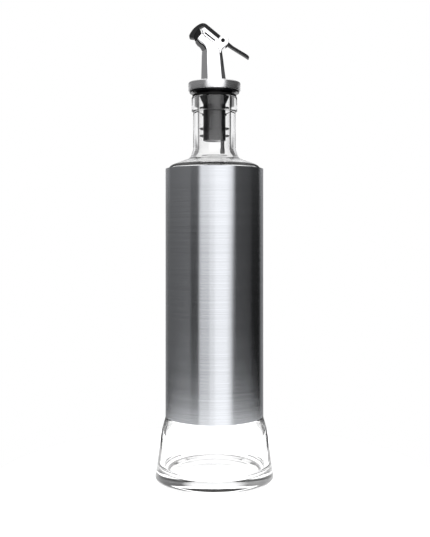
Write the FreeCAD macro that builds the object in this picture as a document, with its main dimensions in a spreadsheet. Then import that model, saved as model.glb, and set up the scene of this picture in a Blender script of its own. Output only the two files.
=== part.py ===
import FreeCAD, Part
import Sketcher
import math
import os

# A 500 ml glass oil bottle with a brushed steel sleeve and a lever pourer.
# The origin is the centre of the resting face, +Z is up, the spout pours towards -X.

SIZES = {
    # glass bottle, radii from its axis and heights from the table
    "punt_height": 2.2,
    "ring_inner_radius": 31.5,
    "ring_outer_radius": 35.0,
    "heel_radius": 3.4,
    "base_radius": 38.3,
    "flare_radius": 33.9,
    "flare_height": 31.6,
    "ledge_radius": 31.5,
    "ledge_height": 40.4,
    "body_radius": 30.8,
    "shoulder_start": 196.0,
    "shoulder_radius": 27.4,
    "shoulder_height": 202.0,
    "shoulder_bend": 6.2,
    "neck_start": 210.6,
    "neck_radius": 13.7,
    "neck_bend": 4.6,
    "neck_foot_radius": 16.6,
    "neck_foot_height": 206.5,
    "finish_radius": 14.75,
    "finish_start": 236.2,
    "mouth_height": 245.5,
    "mouth_bore_radius": 9.9,
    "edge_break": 0.7,
    "wall": 2.6,
    "floor_height": 6.4,
    "floor_radius": 27.0,
    "floor_corner": 4.6,
    # sleeve and the two bands of tape that hold it
    "sleeve_radius": 31.5,
    "sleeve_gauge": 0.4,
    "sleeve_bottom": 41.2,
    "sleeve_top": 199.4,
    "band_width": 12.0,
    "band_inset": 8.0,
    # stopper
    "stopper_radius": 7.2,
    "stopper_bottom": 217.3,
    "stopper_root_radius": 9.2,
    "cone_top": 244.6,
    "cone_bottom": 240.6,
    "fin_radius": 9.6,
    "fin_height": 0.8,
    "top_fin": 238.2,
    "upper_fin": 234.0,
    "lower_fin": 225.0,
    "bottom_fin": 220.4,
    "short_fin_radius": 8.0,
    "flange_radius": 16.0,
    "flange_bottom": 248.1,
    "flange_top": 249.5,
    "flange_core_radius": 11.5,
    "boss_radius": 12.0,
    "boss_top": 254.3,
    "washer_radius": 14.25,
    "washer_height": 1.5,
    # cap
    "cap_radius": 16.75,
    "cap_bottom": 249.3,
    "cap_top": 255.2,
    "cap_crown": 0.4,
    "cap_corner": 1.5,
    "cap_gauge": 0.5,
    # spout
    "shank_radius": 7.5,
    "shank_bottom": 244.8,
    "collar_radius": 8.5,
    "collar_height": 1.0,
    "foot_x": -0.5,
    "foot_length": 8.1,
    "foot_width": 6.6,
    "foot_corner": 4.6,
    "foot_front": 6.2,
    "column_x": -1.4,
    "column_length": 6.8,
    "column_width": 5.2,
    "column_corner": 3.4,
    "column_front": 5.0,
    "column_top": 271.5,
    "bend_x": -3.6,
    "bend_height": 280.0,
    "bend_length": 5.5,
    "bend_tilt": 26.0,
    "mouth_x": -10.0,
    "mouth_z": 283.6,
    "mouth_radius": 3.8,
    "mouth_tilt": 51.7,
    "oil_bore_x": -1.6,
    "oil_bore_radius": 4.2,
    "oil_way_radius": 4.1,
    "bend_bore_radius": 3.5,
    "mouth_bore": 2.45,
    "cheek_width": 9.4,
    "ear_radius": 3.1,
    "slot_clearance": 0.15,
    "recess_width": 1.6,
    "recess_length": 7.0,
    "recess_slope": 38.0,
    "recess_depth": 0.4,
    "vent_hole_radius": 0.9,
    "vent_hole_height": 274.0,
    "air_way_radius": 0.75,
    "air_way_top": 275.0,
    "vent_top_x": 3.9,
    # vent tube
    "vent_x": 5.2,
    "vent_radius": 1.2,
    "vent_bore_radius": 0.75,
    "vent_tube_top": 252.0,
    "vent_tube_bottom": 209.3,
    "vent_tip_bottom": 207.7,
    "vent_tip_top": 211.8,
    "vent_tip_radius": 1.5,
    # lever, its pin and its spring; lever points are measured from the pin
    "pin_x": 5.5,
    "pin_z": 281.35,
    "pin_radius": 1.3,
    "pin_length": 9.8,
    "pin_dimple_radius": 0.45,
    "pin_dimple_depth": 0.3,
    "lever_width": 6.0,
    "hub_radius": 2.1,
    "hub_bore_clearance": 0.06,
    "arm_slope": 39.7,
    "arm_gauge": 1.7,
    "arm_offset": 0.63,
    "arm_reach": 15.3,
    "deck_gap": 0.4,
    "deck_reach": 13.6,
    "deck_start": 3.04,
    "slot_start": 4.6,
    "slot_slope": -76.0,
    "spring_wire_radius": 0.2,
    "spring_radius": 1.72,
    "spring_pitch": 0.36,
    "spring_gap": 2.7,
    "spring_start": -40.0,
    "spring_leg_slope": -27.0,
    "spring_slot": 0.35,
    "fixed_leg": 2.6,
    "lever_leg": 6.4,
    "plug_gap": 0.03,
}

THROUGH_CUT = 40.0  # longer than any hole it cuts
SHALLOW_CUT = 4.0  # reaches well past the face that it cuts into


class Size:
    """A length that knows its value and the sheet formula that gives it."""

    def __init__(self, value, formula):
        self.value = float(value)
        self.formula = formula

    def __add__(self, other):
        other = size(other)
        return Size(self.value + other.value, "(%s + %s)" % (self.formula, other.formula))

    def __sub__(self, other):
        other = size(other)
        return Size(self.value - other.value, "(%s - %s)" % (self.formula, other.formula))

    def __mul__(self, other):
        other = size(other)
        return Size(self.value * other.value, "(%s * %s)" % (self.formula, other.formula))

    def __truediv__(self, other):
        other = size(other)
        return Size(self.value / other.value, "(%s / %s)" % (self.formula, other.formula))

    def __neg__(self):
        return Size(-self.value, "(0 - %s)" % self.formula)


def size(thing):
    """Turns a plain number into a Size."""
    if isinstance(thing, Size):
        return thing
    if thing < 0:
        return Size(thing, "(0 - %r)" % -float(thing))
    return Size(thing, "%r" % float(thing))


def sine(angle):
    return Size(math.sin(math.radians(angle.value)), "sin(%s * 1 deg)" % angle.formula)


def cosine(angle):
    return Size(math.cos(math.radians(angle.value)), "cos(%s * 1 deg)" % angle.formula)


class Sheet:
    """The spreadsheet of driving dimensions; each one reads as an attribute."""

    def __init__(self, doc):
        cells = doc.addObject("Spreadsheet::Sheet", "sizes")
        for row, (name, value) in enumerate(SIZES.items(), start=1):
            cells.set("A%d" % row, name)
            cells.set("B%d" % row, str(value))
            cells.setAlias("B%d" % row, name)
            setattr(self, name, Size(value, "sizes.%s" % name))


def new_body(doc, name):
    body = doc.addObject("PartDesign::Body", name)
    body.Label = name
    return body


def origin_plane(body, role):
    for feature in body.Origin.OriginFeatures:
        if feature.Role == role:
            return feature
    raise ValueError("no plane " + role)


def new_sketch(body, name, role="XZ_Plane", across=0, height=0, tilt=0):
    """A sketch on an origin plane, moved along X and up, and turned about Y."""
    sketch = body.newObject("Sketcher::SketchObject", name)
    sketch.AttachmentSupport = [(origin_plane(body, role), "")]
    sketch.MapMode = "FlatFace"
    spot = FreeCAD.Vector(size(across).value, 0, size(height).value)
    turn = FreeCAD.Rotation(FreeCAD.Vector(0, 1, 0), -size(tilt).value)
    sketch.AttachmentOffset = FreeCAD.Placement(spot, turn)
    if isinstance(across, Size):
        sketch.setExpression("AttachmentOffset.Base.x", across.formula)
    if isinstance(height, Size):
        sketch.setExpression("AttachmentOffset.Base.z", height.formula)
    return sketch


def bind(sketch, kind, where, length):
    """Adds one dimension to a sketch and ties it to the sheet."""
    index = sketch.addConstraint(Sketcher.Constraint(kind, *where, length.value))
    if "sizes." in length.formula:
        sketch.setExpression("Constraints[%d]" % index, length.formula)


def arc_between(start, end, radius):
    """An arc that turns left from start to end, or right if the radius is negative."""
    chord = end - start
    half = chord.Length / 2
    sagitta_side = 1 if radius > 0 else -1
    rise = math.sqrt(max(radius * radius - half * half, 0))
    left = FreeCAD.Vector(-chord.y, chord.x, 0).normalize()
    centre = (start + end) * 0.5 + left * rise * sagitta_side
    middle = centre - left * abs(radius) * sagitta_side
    if radius > 0:
        return Part.Arc(start, middle, end)
    return Part.Arc(end, middle, start)


def draw_outline(sketch, corners):
    """Draws a closed outline; a corner is (x, y), or (x, y, radius of the arc to the next one)."""
    spots = []
    for corner in corners:
        spots.append(FreeCAD.Vector(size(corner[0]).value, size(corner[1]).value, 0))
    ends = []
    for index, corner in enumerate(corners):
        start = spots[index]
        end = spots[(index + 1) % len(corners)]
        if len(corner) == 2:
            edge = sketch.addGeometry(Part.LineSegment(start, end), False)
            ends.append((edge, 1, 2))
            continue
        radius = size(corner[2])
        edge = sketch.addGeometry(arc_between(start, end, radius.value), False)
        ends.append((edge, 1, 2) if radius.value > 0 else (edge, 2, 1))
    for index, (edge, start, end) in enumerate(ends):
        following = ends[(index + 1) % len(ends)]
        sketch.addConstraint(Sketcher.Constraint("Coincident", edge, end, following[0], following[1]))
    for index, corner in enumerate(corners):
        edge, start, end = ends[index]
        bind(sketch, "DistanceX", (-1, 1, edge, start), size(corner[0]))
        bind(sketch, "DistanceY", (-1, 1, edge, start), size(corner[1]))
        if len(corner) == 3:
            radius = size(corner[2])
            bind(sketch, "Radius", (edge,), radius if radius.value > 0 else -radius)


def draw_circle(sketch, radius, x=0, y=0):
    spot = FreeCAD.Vector(size(x).value, size(y).value, 0)
    circle = sketch.addGeometry(Part.Circle(spot, FreeCAD.Vector(0, 0, 1), radius.value), False)
    bind(sketch, "DistanceX", (-1, 1, circle, 3), size(x))
    bind(sketch, "DistanceY", (-1, 1, circle, 3), size(y))
    bind(sketch, "Radius", (circle,), radius)


def lathe(body, name, corners):
    """Turns a closed outline of (radius, height) corners about the vertical axis."""
    sketch = new_sketch(body, name + "_outline")
    draw_outline(sketch, corners)
    turned = body.newObject("PartDesign::Revolution", name)
    turned.Profile = sketch
    turned.ReferenceAxis = (sketch, ["V_Axis"])
    turned.Angle = 360
    return turned


def slab(body, name, corners, width, kind="PartDesign::Pad"):
    """Pads or pockets a side outline of (x, z) corners, half to each side of the middle."""
    sketch = new_sketch(body, name + "_outline")
    draw_outline(sketch, corners)
    return extrude(body, name, sketch, width, kind, middle=True)


def extrude(body, name, sketch, length, kind="PartDesign::Pad", middle=False, backwards=False):
    feature = body.newObject(kind, name)
    feature.Profile = sketch
    feature.Length = size(length).value
    if isinstance(length, Size):
        feature.setExpression("Length", length.formula)
    if middle:
        feature.SideType = "Symmetric"
    feature.Reversed = backwards
    return feature


def loft(body, name, sections, kind="PartDesign::AdditiveLoft"):
    feature = body.newObject(kind, name)
    feature.Profile = sections[0]
    feature.Sections = sections[1:]
    return feature


def glass_bottle(doc, s):
    body = new_body(doc, "glass_bottle")
    inner_radius = s.body_radius - s.wall
    lathe(body, "bottle_wall", [
        (0, s.punt_height),
        (s.ring_inner_radius, 1.0),
        (s.ring_inner_radius + 1.2, 0),
        (s.ring_outer_radius, 0, s.heel_radius),
        (s.base_radius, s.heel_radius - 0.2),
        (s.flare_radius, s.flare_height),
        (s.ledge_radius, s.ledge_height),
        (s.body_radius, s.ledge_height + 0.6),
        (s.body_radius, s.shoulder_start, s.shoulder_bend),
        (s.shoulder_radius, s.shoulder_height),
        (s.neck_foot_radius, s.neck_foot_height, -s.neck_bend),
        (s.neck_radius, s.neck_start),
        (s.neck_radius, s.finish_start - 0.4),
        (s.finish_radius, s.finish_start + 0.4),
        (s.finish_radius, s.mouth_height - s.edge_break, s.edge_break),
        (s.finish_radius - s.edge_break, s.mouth_height),
        (s.mouth_bore_radius + s.edge_break, s.mouth_height),
        (s.mouth_bore_radius, s.mouth_height - s.edge_break),
        (s.mouth_bore_radius, s.neck_start, s.neck_bend + s.wall),
        (s.neck_foot_radius - 1.2, s.neck_foot_height - s.wall),
        (s.shoulder_radius - 1.2, s.shoulder_height - s.wall, -(s.shoulder_bend - s.wall)),
        (inner_radius, s.shoulder_start),
        (inner_radius, s.ledge_height + 3.0),
        (s.flare_radius - s.wall, s.flare_height),
        (s.floor_radius + s.floor_corner, s.floor_height + s.floor_corner, -s.floor_corner),
        (s.floor_radius, s.floor_height),
        (0, s.floor_height + 0.6),
    ])
    return body


def steel_sleeve(doc, s):
    body = new_body(doc, "steel_sleeve")
    lathe(body, "sleeve_wall", [
        (s.sleeve_radius - s.sleeve_gauge, s.sleeve_bottom),
        (s.sleeve_radius, s.sleeve_bottom),
        (s.sleeve_radius, s.sleeve_top),
        (s.sleeve_radius - s.sleeve_gauge, s.sleeve_top),
    ])
    return body


def tape_band(doc, s, name, bottom):
    body = new_body(doc, name)
    lathe(body, name + "_wall", [
        (s.body_radius, bottom),
        (s.sleeve_radius - s.sleeve_gauge, bottom),
        (s.sleeve_radius - s.sleeve_gauge, bottom + s.band_width),
        (s.body_radius, bottom + s.band_width),
    ])
    return body


def fin_corners(s, height, radius):
    """The four corners of one fin, thin at its rim, going down the stopper."""
    return [
        (s.stopper_radius, height + s.fin_height / 2),
        (radius, height + s.fin_height / 4),
        (radius, height - s.fin_height / 4),
        (s.stopper_radius, height - s.fin_height / 2),
    ]


def stopper(doc, s):
    body = new_body(doc, "stopper")
    outline = [
        (0, s.stopper_bottom),
        (0, s.boss_top),
        (s.boss_radius, s.boss_top),
        (s.boss_radius, s.flange_top),
        (s.flange_radius, s.flange_top),
        (s.flange_radius, s.flange_bottom),
        (s.flange_core_radius, s.flange_bottom),
        (s.flange_core_radius, s.mouth_height + s.washer_height),
        (s.stopper_root_radius, s.mouth_height + s.washer_height),
        (s.stopper_root_radius, s.cone_top),
        (s.stopper_radius, s.cone_bottom),
    ]
    outline += fin_corners(s, s.top_fin, s.fin_radius)
    outline += fin_corners(s, s.upper_fin, s.short_fin_radius)
    outline += fin_corners(s, s.lower_fin, s.fin_radius)
    outline += fin_corners(s, s.bottom_fin, s.fin_radius)
    outline += [(s.stopper_radius, s.stopper_bottom)]
    outline.reverse()
    lathe(body, "stopper_core", outline)
    socket = new_sketch(body, "shank_socket_circle", "XY_Plane", height=s.shank_bottom)
    draw_circle(socket, s.shank_radius)
    extrude(body, "shank_socket", socket, THROUGH_CUT, "PartDesign::Pocket", backwards=True)
    oil = new_sketch(body, "oil_bore_circle", "XY_Plane", height=s.stopper_bottom - 1)
    draw_circle(oil, s.oil_bore_radius, x=s.oil_bore_x)
    extrude(body, "oil_bore", oil, THROUGH_CUT, "PartDesign::Pocket", backwards=True)
    vent = new_sketch(body, "vent_bore_circle", "XY_Plane", height=s.stopper_bottom - 1)
    draw_circle(vent, s.vent_radius, x=s.vent_x)
    extrude(body, "vent_bore", vent, THROUGH_CUT, "PartDesign::Pocket", backwards=True)
    return body


def sealing_washer(doc, s):
    body = new_body(doc, "sealing_washer")
    top = s.mouth_height + s.washer_height
    lathe(body, "washer_ring", [
        (s.stopper_root_radius, s.mouth_height),
        (s.washer_radius - 0.4, s.mouth_height),
        (s.washer_radius, s.mouth_height + 0.4),
        (s.washer_radius, top - 0.4),
        (s.washer_radius - 0.4, top),
        (s.stopper_root_radius, top),
    ])
    return body


def cap_shell(doc, s):
    """A pressed cap: skirt with a turned-in lip, round corner and slightly domed top."""
    body = new_body(doc, "cap_shell")
    inner = s.cap_radius - s.cap_gauge
    hole = s.shank_radius + 0.1
    corner_top = s.cap_top - s.cap_crown
    lathe(body, "cap_wall", [
        (s.flange_radius + 0.1, s.cap_bottom),
        (s.cap_radius - 0.3, s.cap_bottom),
        (s.cap_radius, s.cap_bottom + 0.3),
        (s.cap_radius, corner_top - s.cap_corner, s.cap_corner),
        (s.cap_radius - s.cap_corner, corner_top),
        (s.collar_radius + 0.6, s.cap_top),
        (hole, s.cap_top),
        (hole, s.cap_top - s.cap_gauge),
        (s.collar_radius + 0.6, s.cap_top - s.cap_gauge),
        (s.cap_radius - s.cap_corner, corner_top - s.cap_gauge, -(s.cap_corner - s.cap_gauge)),
        (inner, corner_top - s.cap_corner),
        (inner, s.cap_bottom + 0.8),
        (s.flange_radius + 0.1, s.cap_bottom + 0.5),
    ])
    return body


def lever_frame(s, along, across):
    """A point of the front arm: along it from the pin, and square to it."""
    x = sine(s.arm_slope) * across - cosine(s.arm_slope) * along
    z = cosine(s.arm_slope) * across + sine(s.arm_slope) * along
    return x, z


def draw_rounded(sketch, half_length, half_width, rear, front):
    """A rounded rectangle about the sketch's origin, with larger corners towards the mouth."""
    draw_outline(sketch, [
        (half_length, rear - half_width),
        (half_length, half_width - rear, rear),
        (half_length - rear, half_width),
        (front - half_length, half_width, front),
        (-half_length, half_width - front),
        (-half_length, front - half_width, front),
        (front - half_length, -half_width),
        (half_length - rear, -half_width, rear),
    ])


def spout_sections(body, name, levels):
    """Sections up the spout: a radius alone is round, the rest are rounded rectangles."""
    sections = []
    for index, (x, height, tilt, shape) in enumerate(levels):
        section = new_sketch(body, "%s_section_%d" % (name, index), "XY_Plane", x, height, tilt)
        if len(shape) == 1:
            draw_circle(section, shape[0])
        else:
            draw_rounded(section, *shape)
        sections.append(section)
    return sections


def from_pin(s, x, z):
    return s.pin_x + x, s.pin_z + z


def spout_cheeks(body, s):
    """The flat-sided bracket under the lever, ending in the two round ears."""
    deck = s.arm_offset - s.arm_gauge / 2 - s.deck_gap
    front = from_pin(s, *lever_frame(s, s.deck_reach, deck))
    meet = from_pin(s, *lever_frame(s, s.deck_start, deck))
    slab(body, "cheeks", [
        (s.mouth_x + 4.0, s.mouth_z + 1.2),
        (-1.0, s.column_top),
        (3.6, s.column_top),
        (5.0, s.column_top + 4.4),
        (s.pin_x + 2.03, s.pin_z - 2.34, s.ear_radius),
        (s.pin_x - 1.0, s.pin_z + 2.934, s.ear_radius),
        meet,
        front,
        (s.mouth_x + 2.9, s.mouth_z + 3.2),
    ], s.cheek_width)


def spout_slot(body, s):
    """The gap between the ears, with room for the hub and for the pressed rear arm."""
    room = s.hub_radius + 0.25
    deck = s.arm_offset - s.arm_gauge / 2 - s.deck_gap
    start = from_pin(s, *lever_frame(s, s.slot_start, deck))
    touch_along = math.sqrt(room.value ** 2 - deck.value ** 2)
    touch = from_pin(s, *lever_frame(s, size(touch_along), deck))
    down = s.slot_slope
    slab(body, "lever_slot", [
        start,
        (touch[0], touch[1], room),
        from_pin(s, cosine(down) * room, sine(down) * room),
        from_pin(s, cosine(down) * 6, sine(down) * 6),
        from_pin(s, size(8), size(-5.8)),
        from_pin(s, size(8), size(7)),
        from_pin(s, size(-4), size(7)),
    ], s.lever_width + s.slot_clearance * 2, "PartDesign::Pocket")


def spout_recess(body, s, side):
    """The long shallow groove on one side of the head."""
    sketch = new_sketch(body, "recess_outline_%s" % ("near" if side < 0 else "far"))
    reach = s.cheek_width / 2 - s.recess_depth
    sketch.AttachmentOffset = FreeCAD.Placement(
        FreeCAD.Vector(0, 0, -side * reach.value), FreeCAD.Rotation())
    sketch.setExpression("AttachmentOffset.Base.z", (reach * -side).formula)
    half = s.recess_width / 2
    slope = math.radians(s.recess_slope.value)
    ux, uz = -math.cos(slope), math.sin(slope)
    low = (-0.5, 281.0)
    end = (low[0] + ux * s.recess_length.value, low[1] + uz * s.recess_length.value)
    nx, nz = uz * half.value, -ux * half.value
    draw_outline(sketch, [
        (low[0] - nx, low[1] - nz, half * 1.05),
        (low[0] + nx, low[1] + nz),
        (end[0] + nx, end[1] + nz, half * 1.05),
        (end[0] - nx, end[1] - nz),
    ])
    extrude(body, "recess_%s" % ("near" if side < 0 else "far"), sketch, SHALLOW_CUT,
            "PartDesign::Pocket", backwards=side < 0)


def spring_leg_slot(body, s):
    """A narrow slot under the hub that holds the fixed leg of the spring."""
    along_x, along_z = -sine(s.spring_start), cosine(s.spring_start)
    corners = []
    for along, side in ((3.0, 1), (3.0, -1), (0.3, -1), (0.3, 1)):
        x = cosine(s.spring_start) * (s.spring_radius - s.spring_slot * side) - along_x * along
        z = sine(s.spring_start) * (s.spring_radius - s.spring_slot * side) - along_z * along
        corners.append(from_pin(s, x, z))
    slab(body, "leg_slot", corners, s.spring_gap, "PartDesign::Pocket")


def spout_body(doc, s):
    """The cast spout: a flat-sided leaning column, a bent head, a bracket and its passages."""
    body = new_body(doc, "spout_body")
    shank = new_sketch(body, "shank_circle", "XY_Plane", height=s.shank_bottom)
    draw_circle(shank, s.shank_radius)
    extrude(body, "shank", shank, s.cap_top - s.shank_bottom)
    collar = new_sketch(body, "collar_circle", "XY_Plane", height=s.cap_top)
    draw_circle(collar, s.collar_radius)
    extrude(body, "collar", collar, s.collar_height)
    foot = (s.foot_length, s.foot_width, s.foot_corner, s.foot_front)
    top = (s.column_length, s.column_width, s.column_corner, s.column_front)
    bend = (s.bend_length, s.column_width, s.column_corner, s.column_front)
    mouth_corner = s.mouth_radius - 0.1
    mouth = (s.mouth_radius, s.mouth_radius, mouth_corner, mouth_corner)
    loft(body, "column", spout_sections(body, "column", [
        (s.foot_x, s.cap_top + s.collar_height / 2, 0, foot),
        (s.column_x, s.column_top, 0, top),
    ]))
    loft(body, "head", spout_sections(body, "head", [
        (s.column_x, s.column_top, 0, top),
        (s.bend_x, s.bend_height, s.bend_tilt, bend),
        (s.mouth_x, s.mouth_z, s.mouth_tilt, mouth),
    ]))
    spout_cheeks(body, s)
    spout_slot(body, s)
    loft(body, "oil_way", spout_sections(body, "oil_way", [
        (s.oil_bore_x, s.shank_bottom - 1, 0, (s.oil_bore_radius,)),
        (s.oil_bore_x, s.column_top, 0, (s.oil_way_radius,)),
    ]), "PartDesign::SubtractiveLoft")
    loft(body, "pour_way", spout_sections(body, "pour_way", [
        (s.oil_bore_x, s.column_top, 0, (s.oil_way_radius,)),
        (s.bend_x, s.bend_height, s.bend_tilt, (s.bend_bore_radius,)),
        (s.mouth_x - 0.8, s.mouth_z + 0.63, s.mouth_tilt, (s.mouth_bore,)),
    ]), "PartDesign::SubtractiveLoft")
    loft(body, "air_way", spout_sections(body, "air_way", [
        (s.vent_x, s.vent_tube_top - 0.5, 0, (s.air_way_radius,)),
        (s.vent_top_x, s.air_way_top, 0, (s.air_way_radius,)),
    ]), "PartDesign::SubtractiveLoft")
    seat = new_sketch(body, "vent_seat_circle", "XY_Plane", height=s.shank_bottom - 1)
    draw_circle(seat, s.vent_radius, x=s.vent_x)
    extrude(body, "vent_seat", seat, s.vent_tube_top - s.shank_bottom + 1,
            "PartDesign::Pocket", backwards=True)
    vent_floor = s.vent_hole_height - s.vent_hole_radius
    vent_roof = s.vent_hole_height + s.vent_hole_radius
    slab(body, "vent_hole", [
        (s.vent_top_x, vent_floor),
        (s.vent_top_x + 4, vent_floor),
        (s.vent_top_x + 4, vent_roof),
        (s.vent_top_x, vent_roof),
    ], s.vent_hole_radius * 2, "PartDesign::Pocket")
    spring_leg_slot(body, s)
    pin = new_sketch(body, "pin_hole_circle")
    draw_circle(pin, s.pin_radius, x=s.pin_x, y=s.pin_z)
    extrude(body, "pin_hole", pin, THROUGH_CUT, "PartDesign::Pocket", middle=True)
    spout_recess(body, s, -1)
    spout_recess(body, s, 1)
    return body


def vent_tube(doc, s):
    body = new_body(doc, "vent_tube")
    ring = new_sketch(body, "tube_ring", "XY_Plane", height=s.vent_tube_bottom)
    draw_circle(ring, s.vent_radius, x=s.vent_x)
    draw_circle(ring, s.vent_bore_radius, x=s.vent_x)
    extrude(body, "tube_wall", ring, s.vent_tube_top - s.vent_tube_bottom)
    return body


def vent_tip(doc, s):
    body = new_body(doc, "vent_tip")
    lathe(body, "tip_wall", [
        (s.vent_bore_radius, s.vent_tip_bottom),
        (s.vent_tip_radius - 0.4, s.vent_tip_bottom),
        (s.vent_tip_radius, s.vent_tip_top - 1),
        (s.vent_tip_radius - 0.1, s.vent_tip_top),
        (s.vent_radius, s.vent_tip_top),
        (s.vent_radius, s.vent_tube_bottom),
        (s.vent_bore_radius, s.vent_tube_bottom),
    ])
    body.Placement.Base = FreeCAD.Vector(s.vent_x.value, 0, 0)
    body.setExpression("Placement.Base.x", s.vent_x.formula)
    return body


def place_at_pin(body, s):
    body.Placement.Base = FreeCAD.Vector(s.pin_x.value, 0, s.pin_z.value)
    body.setExpression("Placement.Base.x", s.pin_x.formula)
    body.setExpression("Placement.Base.z", s.pin_z.formula)


def pivot_pin(doc, s):
    body = new_body(doc, "pivot_pin")
    disc = new_sketch(body, "pin_circle")
    draw_circle(disc, s.pin_radius)
    extrude(body, "pin_bar", disc, s.pin_length, middle=True)
    for side, name in ((-1, "near_dimple"), (1, "far_dimple")):
        sketch = new_sketch(body, name + "_circle")
        floor = s.pin_length / 2 - s.pin_dimple_depth
        sketch.AttachmentOffset = FreeCAD.Placement(
            FreeCAD.Vector(0, 0, -side * floor.value), FreeCAD.Rotation())
        sketch.setExpression("AttachmentOffset.Base.z", (floor * -side).formula)
        draw_circle(sketch, s.pin_dimple_radius)
        extrude(body, name, sketch, SHALLOW_CUT, "PartDesign::Pocket", backwards=side < 0)
    place_at_pin(body, s)
    return body


def spring_leg(doc, s, name, angle, way, length, side):
    """A straight leg that leaves the coil as a tangent at the given angle round the pin."""
    leg = doc.addObject("Part::Cylinder", name)
    leg.setExpression("Radius", s.spring_wire_radius.formula)
    leg.setExpression("Height", length.formula)
    tangent = FreeCAD.Vector(-sine(angle).value * way, 0, cosine(angle).value * way)
    x, z = from_pin(s, cosine(angle) * s.spring_radius, sine(angle) * s.spring_radius)
    y = s.spring_pitch * side
    turn = FreeCAD.Rotation(FreeCAD.Vector(0, 0, 1), tangent)
    leg.Placement = FreeCAD.Placement(FreeCAD.Vector(x.value, y.value, z.value), turn)
    return leg


def spring_coil(doc, s, half):
    """Close-wound turns as one ring of round-backed ridges, half of them each side."""
    body = new_body(doc, "spring_coil")
    cusp = math.sqrt(s.spring_wire_radius.value ** 2 - (s.spring_pitch.value / 2) ** 2)
    end = s.spring_pitch * half + s.spring_wire_radius
    valleys = [s.spring_pitch * (step + 0.5) for step in range(-half, half)]
    corners = [(s.spring_radius, -end, s.spring_wire_radius)]
    for valley in valleys:
        corners.append((s.spring_radius + cusp, valley, s.spring_wire_radius))
    corners.append((s.spring_radius, end, s.spring_wire_radius))
    for valley in reversed(valleys):
        corners.append((s.spring_radius - cusp, valley, s.spring_wire_radius))
    lathe(body, "spring_turns", corners)
    side_on = FreeCAD.Rotation(FreeCAD.Vector(1, 0, 0), 90)
    spot = FreeCAD.Vector(s.pin_x.value, 0, s.pin_z.value)
    body.Placement = FreeCAD.Placement(spot, side_on)
    return body


def return_spring(doc, s):
    """A close-wound torsion spring on the pin: one leg stands in the spout, one lifts the arm."""
    half = 2
    exit_angle = s.spring_leg_slope + 270
    spring = doc.addObject("Part::MultiFuse", "return_spring")
    spring.Label = "return_spring"
    spring.Shapes = [
        spring_coil(doc, s, half),
        spring_leg(doc, s, "fixed_leg", s.spring_start, -1, s.fixed_leg, half),
        spring_leg(doc, s, "lever_leg", exit_angle, 1, s.lever_leg, -half),
    ]
    return spring


def lever(doc, s):
    """The one-piece lever: beak, front arm, forked hub and thumb arm."""
    body = new_body(doc, "lever")
    top = s.arm_offset + s.arm_gauge / 2
    under = s.arm_offset - s.arm_gauge / 2
    slab(body, "front_arm", [
        lever_frame(s, size(0), under),
        lever_frame(s, size(0), top),
        lever_frame(s, s.arm_reach, top) + (3.6,),
        (-14.7, 10.9, 15.0),
        (-21.5, 3.6, 3.0),
        (-20.8, 1.3),
        (-18.4, 1.6),
        (-18.7, 3.6, -12.0),
        (-15.4, 8.2),
        lever_frame(s, s.arm_reach + 1.4, under),
    ], s.lever_width)
    hub = new_sketch(body, "hub_circle")
    draw_circle(hub, s.hub_radius)
    extrude(body, "hub", hub, s.lever_width, middle=True)
    slab(body, "rear_arm", [
        (0.2, -0.9),
        (5.6, -4.5, 24.0),
        (14.6, -10.1),
        (16.3, -11.3),
        (17.1, -10.5),
        (15.6, -8.9, -24.0),
        (6.6, -3.5),
        (0.6, 1.5),
    ], s.lever_width)
    window = new_sketch(body, "spring_window_circle")
    draw_circle(window, s.hub_radius + 0.1)
    extrude(body, "spring_window", window, s.spring_gap, "PartDesign::Pocket", middle=True)
    bore = new_sketch(body, "hub_bore_circle")
    draw_circle(bore, s.pin_radius + s.hub_bore_clearance)
    extrude(body, "hub_bore", bore, THROUGH_CUT, "PartDesign::Pocket", middle=True)
    place_at_pin(body, s)
    return body


def mouth_plug(doc, s):
    """The soft block in the beak that closes the spout."""
    body = new_body(doc, "mouth_plug")
    tilt = s.mouth_tilt
    face_x = s.mouth_x - s.pin_x - cosine(Size(90, "90") - tilt) * s.plug_gap
    face_z = s.mouth_z - s.pin_z + sine(Size(90, "90") - tilt) * s.plug_gap
    half = 2.9
    slab(body, "plug_block", [
        (face_x + cosine(tilt) * half, face_z + sine(tilt) * half),
        (-14.3, 6.6),
        (-15.4, 8.2, 12.0),
        (-18.7, 3.6),
        (-18.4, 1.6),
        (face_x - cosine(tilt) * half, face_z - sine(tilt) * half),
    ], s.lever_width - 0.6)
    place_at_pin(body, s)
    return body


def build(doc):
    s = Sheet(doc)
    doc.recompute()
    lower_band = s.sleeve_bottom + s.band_inset
    upper_band = s.sleeve_top - s.band_inset * 2 - s.band_width
    parts = [
        glass_bottle(doc, s),
        steel_sleeve(doc, s),
        tape_band(doc, s, "lower_tape_band", lower_band),
        tape_band(doc, s, "upper_tape_band", upper_band),
        stopper(doc, s),
        sealing_washer(doc, s),
        cap_shell(doc, s),
        spout_body(doc, s),
        vent_tube(doc, s),
        vent_tip(doc, s),
        pivot_pin(doc, s),
        return_spring(doc, s),
        lever(doc, s),
        mouth_plug(doc, s),
    ]
    doc.recompute()
    return parts


def check(doc, parts):
    """Stops with a message if any object failed or any sub-part isn't a sound solid."""
    for thing in doc.Objects:
        if "Invalid" in thing.State or "Error" in thing.State:
            raise RuntimeError("%s failed: %s" % (thing.Label, thing.State))
    for part in parts:
        shape = part.Shape
        if shape.isNull() or not shape.isValid() or not shape.Solids:
            raise RuntimeError("%s has no sound solid" % part.Label)
        print("%-16s solids %d volume %9.1f" % (part.Label, len(shape.Solids), shape.Volume))


document = FreeCAD.newDocument("oil_bottle")
sub_parts = build(document)
check(document, sub_parts)
os.makedirs("parts", exist_ok=True)
for sub_part in sub_parts:
    sub_part.Shape.exportStep("parts/%s.step" % sub_part.Label)
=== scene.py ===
import math

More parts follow.
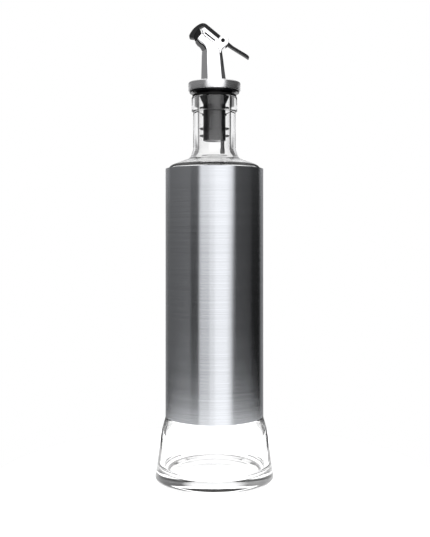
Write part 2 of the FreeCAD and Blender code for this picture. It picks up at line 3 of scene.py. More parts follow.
import bmesh
import bpy
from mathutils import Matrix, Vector


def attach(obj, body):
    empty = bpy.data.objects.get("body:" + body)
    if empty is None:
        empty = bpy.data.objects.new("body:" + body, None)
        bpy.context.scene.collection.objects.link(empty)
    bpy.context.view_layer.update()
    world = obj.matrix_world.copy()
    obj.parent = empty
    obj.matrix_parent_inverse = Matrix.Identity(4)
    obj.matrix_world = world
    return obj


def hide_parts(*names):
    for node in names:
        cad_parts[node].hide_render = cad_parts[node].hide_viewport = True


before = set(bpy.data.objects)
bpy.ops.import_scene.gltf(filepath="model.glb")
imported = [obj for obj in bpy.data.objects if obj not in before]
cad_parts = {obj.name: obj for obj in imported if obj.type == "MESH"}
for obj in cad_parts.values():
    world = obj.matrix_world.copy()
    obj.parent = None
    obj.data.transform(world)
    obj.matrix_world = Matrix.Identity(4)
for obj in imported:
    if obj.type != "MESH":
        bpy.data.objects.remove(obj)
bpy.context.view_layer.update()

# %% [markdown]
# ## Outlines with rounded corners
# Almost every piece here is either turned about an axis or cut from a side outline. An outline is
# written as its few real corners, in millimetres. A third number rounds that corner, so a bend
# is a true arc and not a list of points.
# %% Round the corners of an outline
MM = 0.001
ARC_STEP = math.radians(9)
EDGE_ANGLE = math.radians(32)


def rounded_outline(corners):
    """Turns (x, z) and (x, z, radius) corners into points, with an arc at each radius."""
    points = []
    for index, corner in enumerate(corners):
        here = Vector(corner[:2])
        if len(corner) == 2:
            points.append(here)
            continue
        to_last = (Vector(corners[index - 1][:2]) - here).normalized()
        to_next = (Vector(corners[(index + 1) % len(corners)][:2]) - here).normalized()
        half = to_last.angle(to_next) / 2
        centre = here + (to_last + to_next).normalized() * corner[2] / math.sin(half)
        start = here + to_last * corner[2] / math.tan(half) - centre
        end = here + to_next * corner[2] / math.tan(half) - centre
        sweep = math.atan2(start.x * end.y - start.y * end.x, start.dot(end))
        steps = max(2, math.ceil(abs(sweep) / ARC_STEP))
        for step in range(steps + 1):
            turn = sweep * step / steps
            points.append(centre + Vector((
                start.x * math.cos(turn) - start.y * math.sin(turn),
                start.x * math.sin(turn) + start.y * math.cos(turn))))
    return points


print("a square with one round corner has",
      len(rounded_outline([(0, 0), (1, 0), (1, 1, 0.3), (0, 1)])), "points")

# %% [markdown]
# ## From an outline to a piece
# Blown, pressed and moulded round pieces are turned about an upright axis. The lever and the
# bracket under it are flat-sided, so they are slabs: a side outline with a width. Both helpers
# make closed meshes, because glass needs an inside and an outside to bend light correctly.
# %% Turn, cut and finish a mesh


def new_piece(name, builder):
    """Stores a bmesh as an object that shades smoothly except at real edges."""
    bmesh.ops.recalc_face_normals(builder, faces=builder.faces)
    mesh = bpy.data.meshes.new(name)
    builder.to_mesh(mesh)
    builder.free()
    mesh.shade_smooth()
    mesh.set_sharp_from_angle(angle=EDGE_ANGLE)
    piece = bpy.data.objects.new(name, mesh)
    bpy.context.scene.collection.objects.link(piece)
    return piece


def turned(name, corners, segments=128, axis_x=0.0):
    """Revolves a closed outline about the upright line at axis_x."""
    builder = bmesh.new()
    rings = []
    for radius, height in rounded_outline(corners):
        if radius < 1e-6:
            rings.append([builder.verts.new((axis_x * MM, 0, height * MM))])
            continue
        ring = []
        for step in range(segments):
            turn = math.tau * step / segments
            ring.append(builder.verts.new(((axis_x + radius * math.cos(turn)) * MM,
                                           radius * math.sin(turn) * MM, height * MM)))
        rings.append(ring)
    for index, ring in enumerate(rings):
        other = rings[(index + 1) % len(rings)]
        if len(ring) == 1 and len(other) == 1:
            continue
        for step in range(segments):
            after = (step + 1) % segments
            if len(ring) == 1:
                builder.faces.new((ring[0], other[step], other[after]))
            elif len(other) == 1:
                builder.faces.new((ring[step], ring[after], other[0]))
            else:
                builder.faces.new((ring[step], ring[after], other[after], other[step]))
    return new_piece(name, builder)


def slab(name, corners, width):
    """A flat-sided piece: a side outline, as wide as asked, centred on the middle plane."""
    builder = bmesh.new()
    outline = rounded_outline(corners)
    near = [builder.verts.new((p.x * MM, -width / 2 * MM, p.y * MM)) for p in outline]
    far = [builder.verts.new((p.x * MM, width / 2 * MM, p.y * MM)) for p in outline]
    builder.faces.new(near)
    builder.faces.new(list(reversed(far)))
    for index in range(len(outline)):
        after = (index + 1) % len(outline)
        builder.faces.new((near[after], near[index], far[index], far[after]))
    return new_piece(name, builder)


def apply_modifiers(piece):
    """Replaces the mesh by what its modifiers make of it."""
    depsgraph = bpy.context.evaluated_depsgraph_get()
    mesh = bpy.data.meshes.new_from_object(piece.evaluated_get(depsgraph))
    piece.modifiers.clear()
    piece.data = mesh
    mesh.shade_smooth()
    mesh.set_sharp_from_angle(angle=EDGE_ANGLE)


def combine(piece, tool, operation):
    """Adds the tool to the piece, or cuts it away, and then removes the tool."""
    cut = piece.modifiers.new(operation, "BOOLEAN")
    cut.operation = operation
    cut.solver = "EXACT"
    cut.material_mode = "TRANSFER" if tool.data.materials else "INDEX"
    cut.object = tool
    apply_modifiers(piece)
    bpy.data.objects.remove(tool)


def soften(piece, width, segments=3):
    """Rounds the edges a little, as moulds and polishing do."""
    edge = piece.modifiers.new("soft_edges", "BEVEL")
    edge.width = width * MM
    edge.segments = segments
    edge.limit_method = "ANGLE"
    edge.angle_limit = math.radians(38)
    edge.use_clamp_overlap = True
    edge.harden_normals = False
    apply_modifiers(piece)


def ride_as(piece, node, body):
    """The piece stands for a CAD node and moves with its body."""
    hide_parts(node)
    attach(piece, body)
    print(piece.name, "has", len(piece.data.polygons), "faces")


print("helpers ready")

# %% [markdown]
# ## One recipe for every surface
# No real surface is perfectly even. Each finish starts from constant values on the shader, and a
# noise texture then shifts colour, roughness and relief by a little. Stretching the noise gives
# a grain: long thin streaks for brushed steel, round cells for moulded plastic.
# %% Mix a finish


def finish(name, colour, roughness, metallic=0.0, uneven=0.04, rough_change=0.05,
           relief=0.00002, grain=(900, 900, 900), **sockets):
    """A material with slightly uneven colour, roughness and relief."""
    material = bpy.data.materials.new(name)
    material.use_nodes = True
    tree = material.node_tree
    shader = tree.nodes["Principled BSDF"]
    shader.inputs["Metallic"].default_value = metallic
    for socket, value in sockets.items():
        shader.inputs[socket.replace("_", " ")].default_value = value
    place = tree.nodes.new("ShaderNodeTexCoord")
    stretch = tree.nodes.new("ShaderNodeMapping")
    stretch.inputs["Scale"].default_value = grain
    noise = tree.nodes.new("ShaderNodeTexNoise")
    noise.inputs["Scale"].default_value = 1.0
    noise.inputs["Detail"].default_value = 4.0
    tint = tree.nodes.new("ShaderNodeValToRGB")
    tint.color_ramp.elements[0].position = 0.3
    tint.color_ramp.elements[1].position = 0.7
    tint.color_ramp.elements[0].color = [part * (1 - uneven) for part in colour] + [1]
    tint.color_ramp.elements[1].color = [min(1, part * (1 + uneven)) for part in colour] + [1]
    polish = tree.nodes.new("ShaderNodeMapRange")
    polish.inputs["To Min"].default_value = max(0.0, roughness - rough_change)
    polish.inputs["To Max"].default_value = roughness + rough_change
    bump = tree.nodes.new("ShaderNodeBump")
    bump.inputs["Strength"].default_value = 1.0
    bump.inputs["Distance"].default_value = relief
    join = tree.links.new
    join(place.outputs["Object"], stretch.inputs["Vector"])
    join(stretch.outputs["Vector"], noise.inputs["Vector"])
    join(noise.outputs["Fac"], tint.inputs["Fac"])
    join(tint.outputs["Color"], shader.inputs["Base Color"])
    join(noise.outputs["Fac"], polish.inputs["Value"])
    join(polish.outputs["Result"], shader.inputs["Roughness"])
    join(noise.outputs["Fac"], bump.inputs["Height"])
    join(bump.outputs["Normal"], shader.inputs["Normal"])
    return material


clear_glass = finish("clear_glass", (1.0, 1.0, 1.0), 0.0, uneven=0.004, rough_change=0.0,
                     relief=0.00004, grain=(60, 60, 30), Transmission_Weight=1.0, IOR=1.5)
soft_black = finish("black_stopper_plastic", (0.004, 0.004, 0.005), 0.2, rough_change=0.05,
                    Specular_IOR_Level=0.15)
lever_black = finish("black_lever_plastic", (0.009, 0.009, 0.010), 0.38, rough_change=0.06,
                     Specular_IOR_Level=0.2)
washer_black = finish("black_washer_rubber", (0.006, 0.006, 0.006), 0.5,
                      Specular_IOR_Level=0.2)
plug_black = finish("black_plug_rubber", (0.004, 0.004, 0.005), 0.45, Specular_IOR_Level=0.15)
pin_black = finish("dark_pin_plastic", (0.005, 0.005, 0.006), 0.3, Specular_IOR_Level=0.15)
print(len(bpy.data.materials), "materials so far")

# %% [markdown]
# ## The brushed steel
# The sleeve was brushed round and round, so fine scratches run sideways. They spread a
# reflection up and down but keep it sharp from side to side, which gives the tall bright and
# dark bands. Anisotropy does this: a radial tangent follows the scratches, and a quarter turn
# makes the rough direction upright. Long noise streaks add the visible brush marks.
# %% Brush the metals


def brush(material, amount):
    """Scratches run round the upright axis, so highlights stretch up and down."""
    tree = material.node_tree
    around = tree.nodes.new("ShaderNodeTangent")
    around.direction_type = "RADIAL"
    around.axis = "Z"
    shader = tree.nodes["Principled BSDF"]
    shader.inputs["Anisotropic"].default_value = amount
    shader.inputs["Anisotropic Rotation"].default_value = 0.25
    tree.links.new(around.outputs["Tangent"], shader.inputs["Tangent"])


brushed_steel = finish("brushed_steel", (0.60, 0.615, 0.64), 0.235, metallic=1.0, uneven=0.07,
                       rough_change=0.04, relief=0.000004, grain=(14, 14, 2600))
brush(brushed_steel, 0.93)
cap_steel = finish("polished_cap_steel", (0.80, 0.80, 0.81), 0.27, metallic=1.0, uneven=0.03,
                   rough_change=0.03, relief=0.000002, grain=(40, 40, 2500))
spout_chrome = finish("polished_spout_metal", (0.86, 0.86, 0.87), 0.07, metallic=1.0,
                      uneven=0.02, rough_change=0.02, relief=0.000004, grain=(300, 300, 300))
# Dark lining for the narrow cuts in the spout: painted shade, not a colour of the metal.
groove_shade = finish("painted_groove_shade", (0.006, 0.006, 0.007), 0.5, Specular_IOR_Level=0.1)
spring_steel = finish("spring_steel", (0.62, 0.62, 0.63), 0.25, metallic=1.0)
tape_film = finish("clear_tape_film", (0.75, 0.72, 0.62), 0.5)
vent_plastic = finish("dark_vent_plastic", (0.035, 0.036, 0.038), 0.3)
tip_plastic = finish("darker_vent_tip", (0.012, 0.012, 0.012), 0.35)
print(len(bpy.data.materials), "materials in all")

# %% [markdown]
# ## The glass bottle
# The bottle was blown in a mould: a thick flared foot, a straight body hidden by the sleeve, a
# tight shoulder, a neck and a heavier ring at the mouth. One closed outline goes up the outside
# and comes down the inside, so the wall has a true thickness everywhere and the foot is solid.
# %% Blow the bottle
bottle = turned("clear_oil_bottle", [
    (0, 2.2), (31.5, 1.1, 2.0), (33.0, 0, 1.2), (38.75, 0, 3.2), (33.9, 31.6, 22.0),
    (31.45, 40.5, 0.5), (30.8, 41.2, 0.4), (30.8, 197.4, 6.0), (28.6, 201.6, 5.0),
    (15.6, 206.4, 5.0), (13.7, 212.0, 5.0), (13.7, 235.9, 0.4), (14.7, 236.4, 0.35),
    (14.72, 245.5, 0.7), (9.9, 245.5, 0.7), (9.9, 211.5, 6.0), (12.6, 204.4, 5.0),
    (27.2, 199.2, 4.0), (28.2, 196.0, 4.0), (28.2, 43.0, 14.0), (31.3, 31.6, 20.0),
    (33.6, 6.3, 5.0), (0, 6.9)], segments=256)
bottle.data.materials.append(clear_glass)
ride_as(bottle, "glass_bottle", "bottle")

# %% [markdown]
# ## The steel sleeve and its tape
# The sleeve is a tube of thin sheet that slides over the straight part of the glass. Its cut
# ends are slightly broken so that they don't cut a finger. The two bands of tape behind it are
# hidden, so the CAD solids are kept and only painted.
# %% Slide the sleeve on
sleeve = turned("brushed_steel_sleeve", [
    (31.1, 41.2, 0.12), (31.5, 41.2, 0.15), (31.5, 199.4, 0.15), (31.1, 199.4, 0.12)],
    segments=256)
sleeve.data.materials.append(brushed_steel)
ride_as(sleeve, "steel_sleeve", "bottle")
for band in ("lower_tape_band", "upper_tape_band"):
    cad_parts[band].data.materials[0] = tape_film
    print(band, "painted")

# %% [markdown]
# ## The stopper
# The stopper is one moulding of soft black plastic. Thin fins bend against the glass and seal
# it, and a wide flange stops it at the mouth. The bore for the oil and the smaller hole for the
# air tube are cut after the outside is turned.
# %% Mould the stopper
OIL_X = -1.6
VENT_X = 5.2


def fin(height, radius):
    """Four corners of a fin with a thin rim, going up the stopper."""
    return [(7.2, height - 0.4), (radius, height - 0.18), (radius, height + 0.18),
            (7.2, height + 0.4)]


stopper = turned("black_stopper", [(0, 217.3), (7.2, 217.3, 0.3)]
                 + fin(220.4, 9.6) + fin(225.0, 9.6) + fin(234.0, 8.0) + fin(238.2, 9.6)
                 + [(7.2, 240.6), (9.2, 244.6, 0.4), (9.2, 247.0), (11.5, 247.0),
                    (11.5, 248.1), (16.0, 248.1, 0.3), (16.0, 249.5, 0.3), (12.0, 249.5),
                    (12.0, 254.2), (0, 254.2)])
combine(stopper, turned("shank_socket", [(0, 244.8), (7.5, 244.8), (7.5, 260), (0, 260)], 96),
        "DIFFERENCE")
combine(stopper, turned("oil_bore", [(0, 216), (4.2, 216), (4.2, 260), (0, 260)], 64, OIL_X),
        "DIFFERENCE")
combine(stopper, turned("vent_bore", [(0, 216), (1.2, 216), (1.2, 260), (0, 260)], 32, VENT_X),
        "DIFFERENCE")
stopper.data.materials.append(soft_black)
ride_as(stopper, "stopper", "pourer")
washer = turned("black_sealing_washer", [
    (9.2, 245.5), (14.2, 245.5, 0.45), (14.2, 247.0, 0.45), (9.2, 247.0)])
washer.data.materials.append(washer_black)
ride_as(washer, "sealing_washer", "pourer")

# %% [markdown]
# ## The cap
# A disc of sheet metal was pressed over the flange: a straight skirt, a round shoulder and a
# slightly domed top, with the rim turned in at the bottom so that it grips.
# %% Press the cap
cap = turned("polished_cap", [
    (16.1, 249.3, 0.1), (16.75, 249.3, 0.5), (16.75, 254.9, 0.9), (9.1, 255.2, 0.5),
    (7.6, 255.2), (7.6, 254.7), (9.1, 254.7), (16.25, 254.4, 0.5), (16.25, 250.1, 0.1),
    (16.1, 249.9)], segments=192)
cap.data.materials.append(cap_steel)
ride_as(cap, "cap_shell", "pourer")

# %% [markdown]
# ## The spout
# The spout is one metal casting, polished all over. Its column has flat sides and round corners
# and leans a little, then it bends forward to the mouth. That is a loft: a row of rounded
# rectangles, each with its own place, size and tilt, joined by a skin. Only the few stations
# where the shape changes are written down, and the ones between are blended smoothly.
# %% Blend the stations of the column


def blend(before, start, end, after, share):
    """A smooth value between start and end that also follows the stations around them."""
    return 0.5 * (2 * start + (end - before) * share
                  + (2 * before - 5 * start + 4 * end - after) * share ** 2
                  + (3 * start - before - 3 * end + after) * share ** 3)


def station_ring(builder, x, z, tilt, length, width, rear, front):
    """One rounded rectangle as a closed ring of vertices, with its own front corner radius."""
    across = Vector((math.cos(math.radians(tilt)), 0, math.sin(math.radians(tilt))))
    ring = []
    for quarter, (side, face) in enumerate(((1, 1), (-1, 1), (-1, -1), (1, -1))):
        corner = min(rear if side > 0 else front, length - 0.02, width - 0.02)
        for step in range(11):
            turn = math.pi / 2 * (quarter + step / 10)
            reach = side * (length - corner) + corner * math.cos(turn)
            depth = face * (width - corner) + corner * math.sin(turn)
            ring.append(builder.verts.new((Vector((x, depth, z)) + across * reach) * MM))
    return ring


def lofted(name, stations, steps=10):
    """A closed skin over stations of x, z, tilt, half length, half width and two corners."""
    builder = bmesh.new()
    rings = []
    for index in range(len(stations) - 1):
        around = [stations[max(0, index - 1)], stations[index], stations[index + 1],
                  stations[min(len(stations) - 1, index + 2)]]
        last = steps + 1 if index == len(stations) - 2 else steps
        for step in range(last):
            values = [blend(*four, step / steps) for four in zip(*around)]
            rings.append(station_ring(builder, *values))
    for ring, other in zip(rings, rings[1:]):
        for step in range(len(ring)):
            after = (step + 1) % len(ring)
            builder.faces.new((ring[step], ring[after], other[after], other[step]))
    builder.faces.new(list(reversed(rings[0])))
    builder.faces.new(rings[-1])
    return new_piece(name, builder)


spout = lofted("polished_spout", [
    (-0.5, 255.0, 0, 8.1, 6.6, 4.6, 6.2), (-0.95, 263.0, 0, 7.45, 5.9, 4.0, 5.6),
    (-1.4, 271.5, 0, 6.8, 5.2, 3.4, 5.0), (-2.0, 276.2, 10, 6.2, 4.9, 3.2, 4.7),
    (-4.4, 280.1, 30, 5.6, 4.6, 2.8, 4.3), (-7.4, 282.1, 45, 4.9, 4.3, 2.4, 3.8),
    (-9.9, 283.5, 51.7, 3.8, 4.1, 2.2, 3.4)])
spout.data.materials.append(spout_chrome)
print("column skin has", len(spout.data.polygons), "faces")

# %% [markdown]
# ## The bracket and its ears
# Behind the mouth the casting widens into a flat-sided bracket. It ends in two round ears that
# hold the pin, with a gap between them for the lever. The bracket is a slab joined to the
# column, and the gap, the bores and the long side grooves are cut from the whole.
# %% Add the bracket and cut the openings
HEAD_WIDTH = 9.0
bracket = slab("bracket", [
    (-6.4, 284.0), (-1.6, 272.0), (3.6, 271.5, 2.0), (4.9, 276.0, 2.0), (10.6, 280.4, 3.0),
    (5.2, 286.6, 3.1), (2.6, 282.3), (-6.4, 289.8, 0.4), (-8.2, 288.5, 0.4), (-7.3, 286.0)],
    HEAD_WIDTH)
soften(bracket, 0.85, 4)
combine(spout, bracket, "UNION")
print("with the bracket", len(spout.data.polygons), "faces")
gap = slab("lever_gap", [
    (2.2, 284.6), (3.6, 282.9, 0.5), (4.0, 279.5, 2.0), (6.2, 279.0, 0.6), (8.5, 275.5),
    (13.5, 275.5), (13.5, 289.0), (2.0, 289.0)], 6.3)
combine(spout, gap, "DIFFERENCE")
shank = turned("shank", [(0, 244.8), (7.5, 244.8, 0.3), (7.5, 256.2), (0, 256.2)], 96)
collar = turned("collar", [
    (0, 254.9), (8.5, 254.9), (8.5, 255.9, 0.6), (7.4, 256.4), (0, 256.4)], 96)
combine(spout, shank, "UNION")
combine(spout, collar, "UNION")
oil_way = lofted("oil_way", [
    (-1.6, 244.0, 0, 4.2, 4.2, 4.18, 4.18), (-1.6, 271.5, 0, 4.1, 4.1, 4.08, 4.08),
    (-3.6, 280.0, 26, 3.5, 3.5, 3.48, 3.48), (-8.4, 282.6, 48, 2.5, 2.5, 2.48, 2.48),
    (-11.0, 284.4, 51.7, 2.45, 2.45, 2.43, 2.43)])
combine(spout, oil_way, "DIFFERENCE")
print("with its openings", len(spout.data.polygons), "faces")

# %% [markdown]
# The long groove on each side of the head is shallow, and its ends are round. It is a slab with
# a large corner radius at both ends, turned to the slope of the head. Two narrow cuts along it
# are lined with a dark material, which is painted shade in them.
# %% Press the side grooves
TOOL_DEPTH = 2.0


def sloped_bar(name, low, length, width, depth, slope):
    """A bar with round ends that climbs forward from its low end."""
    along = Vector((-math.cos(math.radians(slope)), math.sin(math.radians(slope))))
    square = Vector((along.y, -along.x)) * width / 2
    start, end = Vector(low), Vector(low) + along * length
    bend = width / 2 - 0.02
    return slab(name, [(*(start - square), bend), (*(start + square), bend),
                       (*(end + square), bend), (*(end - square), bend)], depth)


def press(low, length, width, depth, slope, floor):
    """Cuts one sloped bar into both sides of the head; the given material lines the cut, as
    painted shade when dark.
    """
    for side in (-1, 1):
        groove = sloped_bar("groove", low, length, width, TOOL_DEPTH, slope)
        groove.location.y = side * (HEAD_WIDTH / 2 - depth + TOOL_DEPTH / 2) * MM
        groove.data.materials.append(floor)
        bpy.context.view_layer.update()
        combine(spout, groove, "DIFFERENCE")


press((-0.1, 280.5), 8.2, 1.7, 0.35, 38, spout_chrome)
# These two narrow cuts are lined with the dark material: painted shade along the groove's edges.
press((0.5, 281.1), 8.6, 0.9, 0.8, 38, groove_shade)
press((-0.8, 280.1), 7.7, 0.4, 0.6, 38, groove_shade)
# The slot is lined with the dark material too: painted shade in the slot.
vent_slot = slab("vent_slot", [(3.9, 273.1), (8.5, 273.1), (8.5, 274.9), (3.9, 274.9)], 1.8)
vent_slot.data.materials.append(groove_shade)
combine(spout, vent_slot, "DIFFERENCE")
print("finished spout has", len(spout.data.materials), "finishes")
ride_as(spout, "spout_body", "pourer")

# %% [markdown]
# ## The air tube
# A thin tube below the stopper lets air in as oil runs out. It and its darker tip are plain
# turned pieces, off the bottle's middle line.
# %% Turn the air tube and its tip
tube = turned("vent_air_tube", [(0.75, 209.3), (1.2, 209.3), (1.2, 252.0), (0.75, 252.0)],
              48, VENT_X)
tube.data.materials.append(vent_plastic)
ride_as(tube, "vent_tube", "pourer")
tip = turned("vent_tube_tip", [(0.75, 207.7), (1.3, 207.7, 0.3), (1.5, 209.4, 0.4),
                               (1.5, 211.8, 0.25), (1.2, 211.8), (1.2, 209.3), (0.75, 209.3)],
             48, VENT_X)
tip.data.materials.append(tip_plastic)
ride_as(tip, "vent_tip", "pourer")

# %% [markdown]
# ## The pin
# The pin is a small turned bar with a dimple in each end. It is turned upright and then laid
# on its side across the ears, and the lever's hub and bore are laid on it the same way.
# %% Lay the pin across the ears
PIN_X, PIN_Z = 5.5, 281.35


def lay_on_pin(piece):
    """Lays an upright piece on its side and moves its middle to the pin."""
    for vertex in piece.data.vertices:
        x, y, z = vertex.co
        vertex.co = (x + PIN_X * MM, -z, y + PIN_Z * MM)


pin = turned("dark_pivot_pin", [
    (0, -4.65), (0.35, -4.65, 0.1), (0.5, -4.9), (1.3, -4.9, 0.2), (1.3, 4.9, 0.2), (0.5, 4.9),
    (0.35, 4.65, 0.1), (0, 4.65)], 64)
lay_on_pin(pin)
pin.data.materials.append(pin_black)
ride_as(pin, "pivot_pin", "pourer")

# %% [markdown]
# ## The spring
# The spring is round wire in close turns with a straight leg at each end, so it is a curve with
# a round bevel: the coil is a formula, and the legs leave it as tangents.
# %% Wind the spring
COIL_RADIUS = 1.72
COIL_HALF_LENGTH = 0.72
WIRE_RADIUS = 0.19


def spring_point(turn, sideways):
    """A point on the coil, at an angle round the pin and a place along it."""
    return Vector(((PIN_X + COIL_RADIUS * math.cos(turn)) * MM, sideways * MM,
                   (PIN_Z + COIL_RADIUS * math.sin(turn)) * MM))


start_turn, end_turn = math.radians(-40), math.radians(-27 + 270 - 5 * 360)
wire_points = []
steps = 150
for step in range(steps + 1):
    turn = start_turn + (end_turn - start_turn) * step / steps
    wire_points.append(spring_point(turn, COIL_HALF_LENGTH * (1 - 2 * step / steps)))
first_way = (wire_points[0] - wire_points[1]).normalized()
last_way = (wire_points[-1] - wire_points[-2]).normalized()
first_way.y = last_way.y = 0
wire_points.insert(0, wire_points[0] + first_way * 2.5 * MM)
wire_points.append(wire_points[-1] + last_way * 6.3 * MM)
wire = bpy.data.curves.new("return_spring_wire", "CURVE")
wire.dimensions = "3D"
line = wire.splines.new("POLY")
line.points.add(len(wire_points) - 1)
for point, place in zip(line.points, wire_points):
    point.co = (*place, 1)
wire.bevel_depth = WIRE_RADIUS * MM
wire.bevel_resolution = 3
wire.use_fill_caps = True
spring = bpy.data.objects.new("return_spring_wire", wire)
bpy.context.scene.collection.objects.link(spring)
coil_mesh = bpy.data.meshes.new_from_object(
    spring.evaluated_get(bpy.context.evaluated_depsgraph_get()))
bpy.data.objects.remove(spring)
coil_mesh.shade_smooth()
spring = bpy.data.objects.new("return_spring_coil", coil_mesh)
bpy.context.scene.collection.objects.link(spring)
spring.data.materials.append(spring_steel)
ride_as(spring, "return_spring", "pourer")

# %% [markdown]
# ## The lever and its plug
# The lever is one black moulding: a beak over the mouth, a straight front arm, a hub on the pin
# and a curved thumb arm behind. Its side outline is drawn once, given the width of the part,
# and its edges are rounded. The soft plug in the beak closes the spout.
# %% Mould the lever
LEVER_WIDTH = 6.0


def from_pin(*corners):
    """Moves corners measured from the pin to their place above the table."""
    return [(PIN_X + corner[0], PIN_Z + corner[1], *corner[2:]) for corner in corners]


lever = slab("black_lever", from_pin(
    (0.0, -0.3), (0.95, 1.15), (-12.32, 12.1, 4.2), (-19.38, 8.45, 14.2), (-21.9, 3.0, 1.0),
    (-20.9, 2.05, 0.2), (-18.5, 1.8, 0.2), (-18.7, 3.5, 3.0), (-15.6, 8.0, 1.5),
    (-12.6, 9.8, 0.8)), LEVER_WIDTH)
thumb = slab("thumb_arm", from_pin(
    (0.3, -0.9), (5.6, -4.45, 12.0), (14.6, -10.0, 6.0), (16.3, -11.2, 0.5), (17.0, -10.45, 0.6),
    (15.6, -8.9, 6.0), (6.6, -3.5, 12.0), (0.8, 1.4)), LEVER_WIDTH)
combine(lever, thumb, "UNION")
hub = turned("hub", [(0, -3.0), (2.1, -3.0), (2.1, 3.0), (0, 3.0)], 64)
lay_on_pin(hub)
combine(lever, hub, "UNION")
soften(lever, 0.3)
for name, radius, half in (("pin_bore", 1.36, 4.0), ("spring_room", 2.2, 1.35)):
    tool = turned(name, [(0, -half), (radius, -half), (radius, half), (0, half)], 64)
    lay_on_pin(tool)
    combine(lever, tool, "DIFFERENCE")
lever.data.materials.clear()
lever.data.materials.append(lever_black)
ride_as(lever, "lever", "lever")
plug = slab("black_mouth_plug", from_pin(
    (-13.75, 4.55, 0.2), (-14.3, 6.6, 0.2), (-15.4, 8.2), (-18.0, 5.2), (-18.7, 3.6),
    (-18.4, 1.6), (-17.35, 0.0, 0.2)), 5.4)
soften(plug, 0.2)
plug.data.materials.append(plug_black)
ride_as(plug, "mouth_plug", "lever")

# %% [markdown]
# ## The table
# The bottle stands on a small round white table, which gives off a little light of its own so
# that it blends into the white room.
# %% Set the table
table = turned("white_table", [(0, -6.0), (145.0, -6.0), (145.0, -0.05), (0, -0.05)], 96)
table_white = finish("white_table", (0.93, 0.93, 0.93), 0.6, uneven=0.01, relief=0.00001,
                     grain=(30, 30, 30), Emission_Color=(1, 1, 1, 1), Emission_Strength=1.0)
table.data.materials.append(table_white)

# %% [markdown]
# ## The light
# Shiny things show what is around them, so the bands on the metal are mostly the room. This is
# not an even studio light: bright and dark cards stand round the bottle in a low, a middle and
# a high ring, placed for the front view. Other views get less good light. The light path makes
# the background, and whatever is seen through clear glass, plain white. Each card is a start and
# an end, in degrees to the right of the camera, and a brightness.
# %% Hang the cards round the bottle
LOW_CARDS = [
    (-160, -146, 0.25), (-141, -59, 0.14), (-55, -37.5, 0.0), (-35, -14, 0.64), (-9, -2, 1.0),
    (4, 28, 1.35), (34, 36, 1.0), (45, 92, 0.05), (98, 130, 0.01), (142, 160, 0.25)]
MIDDLE_CARDS = [(-126, -37, 0.26), (-31, 44, 1.7), (51, 126, 0.09)]
HIGH_CARDS = [(-160, -37, 0.26), (-31, 44, 1.7), (51, 160, 0.09)]
BACK_SHEET = 1.0
BACK_EDGE = 168
WIDE_BACK_EDGE = 134


def card_ring(tree, cards, back_edge):
    """A colour ramp with two stops for each card; the white sheet behind joins its ends."""
    stops = [(-180, BACK_SHEET), (-back_edge, BACK_SHEET)]
    for start, end, brightness in cards:
        stops += [(start, brightness), (end, brightness)]
    stops += [(back_edge, BACK_SHEET), (180, BACK_SHEET)]
    ring = tree.nodes.new("ShaderNodeValToRGB")
    while len(ring.color_ramp.elements) < len(stops):
        ring.color_ramp.elements.new(0.5)
    for element, (angle, brightness) in zip(ring.color_ramp.elements, stops):
        element.position = (angle + 180) / 360
    for element, (angle, brightness) in zip(ring.color_ramp.elements, stops):
        element.color = (brightness, brightness, brightness * 1.01, 1)
    return ring


def node(tree, kind, **settings):
    """A new shader node with its settings."""
    made = tree.nodes.new("ShaderNode" + kind)
    for setting, value in settings.items():
        setattr(made, setting, value)
    return made


def between(tree, source, low, high):
    """0 below the low angle above the horizon, 1 above the high one, and a ramp between."""
    ramp = node(tree, "MapRange")
    ramp.inputs["From Min"].default_value = math.sin(math.radians(low))
    ramp.inputs["From Max"].default_value = math.sin(math.radians(high))
    tree.links.new(source, ramp.inputs["Value"])
    return ramp.outputs["Result"]


def mix_light(tree, amount, first, second):
    """Mixes two lights; the second may be a plain brightness."""
    mixed = node(tree, "Mix", data_type="RGBA")
    factor, first_socket, second_socket = mixed.inputs[0], mixed.inputs[6], mixed.inputs[7]
    tree.links.new(amount, factor)
    tree.links.new(first, first_socket)
    if isinstance(second, float):
        second_socket.default_value = (second, second, second, 1)
    else:
        tree.links.new(second, second_socket)
    return mixed.outputs[2]


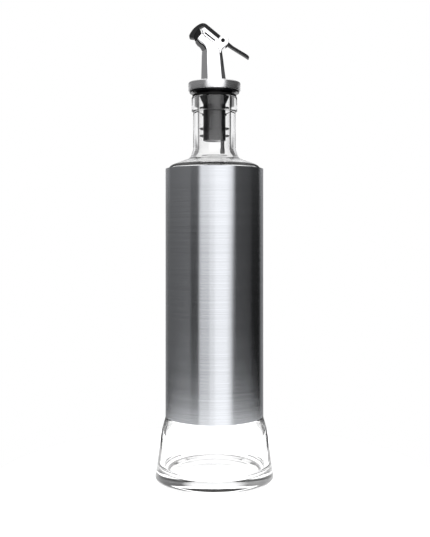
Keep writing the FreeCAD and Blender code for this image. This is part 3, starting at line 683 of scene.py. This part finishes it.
room = bpy.data.worlds.new("white_room")
bpy.context.scene.world = room
room.use_nodes = True
tree = room.node_tree
join = tree.links.new
where = node(tree, "TexCoord")
parts = node(tree, "SeparateXYZ")
towards = node(tree, "Math", operation="MULTIPLY")
towards.inputs[1].default_value = -1
angle = node(tree, "Math", operation="ARCTAN2")
share = node(tree, "MapRange")
share.inputs["From Min"].default_value = -math.pi
share.inputs["From Max"].default_value = math.pi
low_ring = card_ring(tree, LOW_CARDS, BACK_EDGE)
middle_ring = card_ring(tree, MIDDLE_CARDS, WIDE_BACK_EDGE)
high_ring = card_ring(tree, HIGH_CARDS, BACK_EDGE)
join(where.outputs["Generated"], parts.inputs["Vector"])
join(parts.outputs["Y"], towards.inputs[0])
join(parts.outputs["X"], angle.inputs[0])
join(towards.outputs["Value"], angle.inputs[1])
join(angle.outputs["Value"], share.inputs["Value"])
for ring in (low_ring, middle_ring, high_ring):
    join(share.outputs["Result"], ring.inputs["Fac"])
up = parts.outputs["Z"]
cards = mix_light(tree, between(tree, up, 7, 7.8), low_ring.outputs["Color"],
                  middle_ring.outputs["Color"])
cards = mix_light(tree, between(tree, up, 9.3, 9.9), cards, high_ring.outputs["Color"])
cards = mix_light(tree, between(tree, up, 28, 50), cards, 1.2)
seen = node(tree, "LightPath")
straight = node(tree, "Math", operation="LESS_THAN")
straight.inputs[1].default_value = 0.5
clear = node(tree, "Math", operation="MULTIPLY")
join(seen.outputs["Glossy Depth"], straight.inputs[0])
join(seen.outputs["Is Transmission Ray"], clear.inputs[0])
join(straight.outputs["Value"], clear.inputs[1])
cards = mix_light(tree, clear.outputs["Value"], cards, 1.0)
cards = mix_light(tree, seen.outputs["Is Camera Ray"], cards, 1.0)
join(cards, tree.nodes["Background"].inputs["Color"])
print("the room has", len(LOW_CARDS) + len(MIDDLE_CARDS) + len(HIGH_CARDS), "cards")

# %% [markdown]
# ## The camera
# A long lens far from the bottle keeps its sides nearly parallel. The camera is level and a
# little above half of the bottle's height, and the frame is shifted down instead of tilted, so
# the upright lines stay upright.
# %% Place the camera
lens = bpy.data.cameras.new("level_camera")
lens.lens = 56.65
lens.sensor_width = 36
lens.shift_x = 0.0011
lens.shift_y = -0.0624
lens.clip_start = 0.01
camera = bpy.data.objects.new("level_camera", lens)
camera.location = (0, -0.544, 0.157)
camera.rotation_euler = (math.radians(90), 0, 0)
bpy.context.scene.collection.objects.link(camera)
bpy.context.scene.camera = camera
bpy.context.scene.view_settings.view_transform = "Standard"
